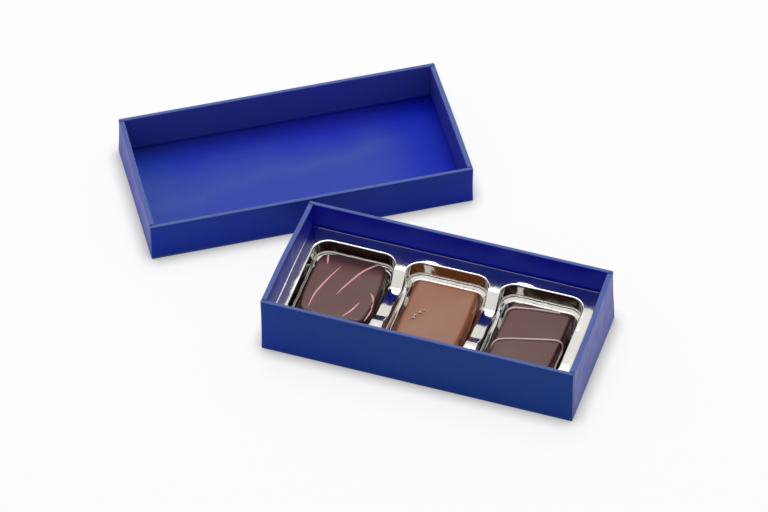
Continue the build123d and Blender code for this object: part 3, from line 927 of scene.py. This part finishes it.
def crystalShell(x, y, size, turn, seed):
    # a broken cube: a sphere of directions pushed out to a box, its corners softened and uneven
    random = np.random.default_rng(seed)
    u = np.linspace(0.02, math.pi - 0.02, 9)[:, None]
    v = np.linspace(0, 2 * math.pi, 16, endpoint=False)[None]
    way = np.stack([np.sin(u) * np.cos(v), np.sin(u) * np.sin(v), np.cos(u) * np.ones_like(v)], axis=-1)
    power = saltLook["boxPower"]
    cube = way / (np.abs(way) ** power).sum(axis=-1, keepdims=True) ** (1 / power)
    rough = 1 + saltLook["unevenness"] * random.standard_normal(cube.shape[:2])[..., None]
    cube = cube * np.array([size / 2, size * saltLook["width"], size * saltLook["height"]]) * rough
    c, s = math.cos(math.radians(turn)), math.sin(math.radians(turn))
    points = cube @ np.array([[c, s, 0], [-s, c, 0], [0, 0, 1]])
    return outward(cappedShell(points + np.array([x, y, saltLook["skin"] + size * saltLook["sunk"]])))


crystals = joined([crystalShell(*place, number + 1) for number, place in enumerate(saltPlaces)])
makePiece("milk_praline_salt_grains", crystals, saltGrain, "milk_praline", ["milk_praline_salt"], sharp=30)

for name in ("dark_praline_filling", "milk_praline_filling", "drizzled_praline_filling"):
    nodes[name].data.materials.clear()
    nodes[name].data.materials.append(softFilling)
print("chocolates made")


# Studio: pale floor, one broad soft light above, plain surroundings

# the last value is the reach of the floor's painted contact shadow
studio = dict(surround=0.52, keyPower=7.6, keySize=0.8, keyPlace=(-0.16, 0.42, 1.13), keyAim=(-0.03, 0.03, 0.0),
              floorColour=0.93, floorRoughness=0.9, floorGlow=0.85, floorMiddle=(-30.0, 30.0, -0.02),
              floorRadii=(200.0, 500.0, 1000.0, 2000.0, 4000.0), floorPoints=96, contactShadowReach=0.006)


def seenRay(tree):
    # 1 for rays that show the background: from the camera, off mirrors and through glass
    path = tree.add("ShaderNodeLightPath")
    seen = tree.math("MAXIMUM", path.outputs["Is Camera Ray"], path.outputs["Is Glossy Ray"])
    return tree.math("MAXIMUM", seen, path.outputs["Is Transmission Ray"])


def makeFloor():
    # a round sheet; it shows its own white to the camera and to mirrors, with a painted contact shadow where pieces
    # come near it
    count = studio["floorPoints"]
    angle = np.linspace(0, 2 * math.pi, count, endpoint=False)
    radius = np.array(studio["floorRadii"])[:, None]
    middle = np.array(studio["floorMiddle"])
    flat = np.zeros((len(radius), count))
    rings = np.stack([radius * np.cos(angle), radius * np.sin(angle), flat], axis=-1) + middle
    verts, quads, _ = gridShell(rings, closedV=True)
    tris = fan(len(verts), 0, count)
    verts = np.vstack([verts, middle])
    mesh = bpy.data.meshes.new("floor")
    mesh.from_pydata((verts * mm).tolist(), [], quads[:, ::-1].tolist() + tris.tolist())
    material, tree, shader, _ = newMaterial("floorPaper")
    shader.inputs["Base Color"].default_value = (studio["floorColour"],) * 3 + (1,)
    shader.inputs["Roughness"].default_value = studio["floorRoughness"]
    shader.inputs["Specular IOR Level"].default_value = 0.0
    # painted contact shadow: the glow dims by ambient occlusion within a few millimetres of the pieces
    contactShadow = tree.add("ShaderNodeAmbientOcclusion", Distance=studio["contactShadowReach"])
    glow = tree.add("ShaderNodeEmission", Color=(1, 1, 1, 1), Strength=contactShadow.outputs["AO"])
    mix = tree.add("ShaderNodeMixShader")
    tree.put(mix.inputs[0], tree.math("MULTIPLY", seenRay(tree), studio["floorGlow"]))
    tree.put(mix.inputs[1], shader.outputs[0])
    tree.put(mix.inputs[2], glow.outputs[0])
    tree.put(material.node_tree.nodes["Material Output"].inputs["Surface"], mix.outputs[0])
    mesh.materials.append(material)
    floor = bpy.data.objects.new("floor", mesh)
    bpy.context.scene.collection.objects.link(floor)


def makeWorld():
    # white to the camera and to mirrors, a softer level as light
    world = bpy.data.worlds.new("studio")
    bpy.context.scene.world = world
    world.use_nodes = True
    tree = Tree(world.node_tree)
    background = world.node_tree.nodes["Background"]
    tree.put(background.inputs["Color"], (1, 1, 1, 1))
    tree.put(background.inputs["Strength"], tree.ramp(seenRay(tree), 0, 1, studio["surround"], 1.0))


def makeKey():
    # a round soft light over the back of the table, aimed at the set
    light = bpy.data.lights.new("softbox", "AREA")
    light.shape = "DISK"
    light.size = studio["keySize"]
    light.energy = studio["keyPower"]
    key = bpy.data.objects.new("softbox", light)
    bpy.context.scene.collection.objects.link(key)
    place = Vector(studio["keyPlace"])
    key.location = place
    key.rotation_euler = (Vector(studio["keyAim"]) - place).to_track_quat("-Z", "Y").to_euler()


makeFloor()
makeWorld()
makeKey()
bpy.context.scene.view_settings.view_transform = "Standard"
print("studio made")
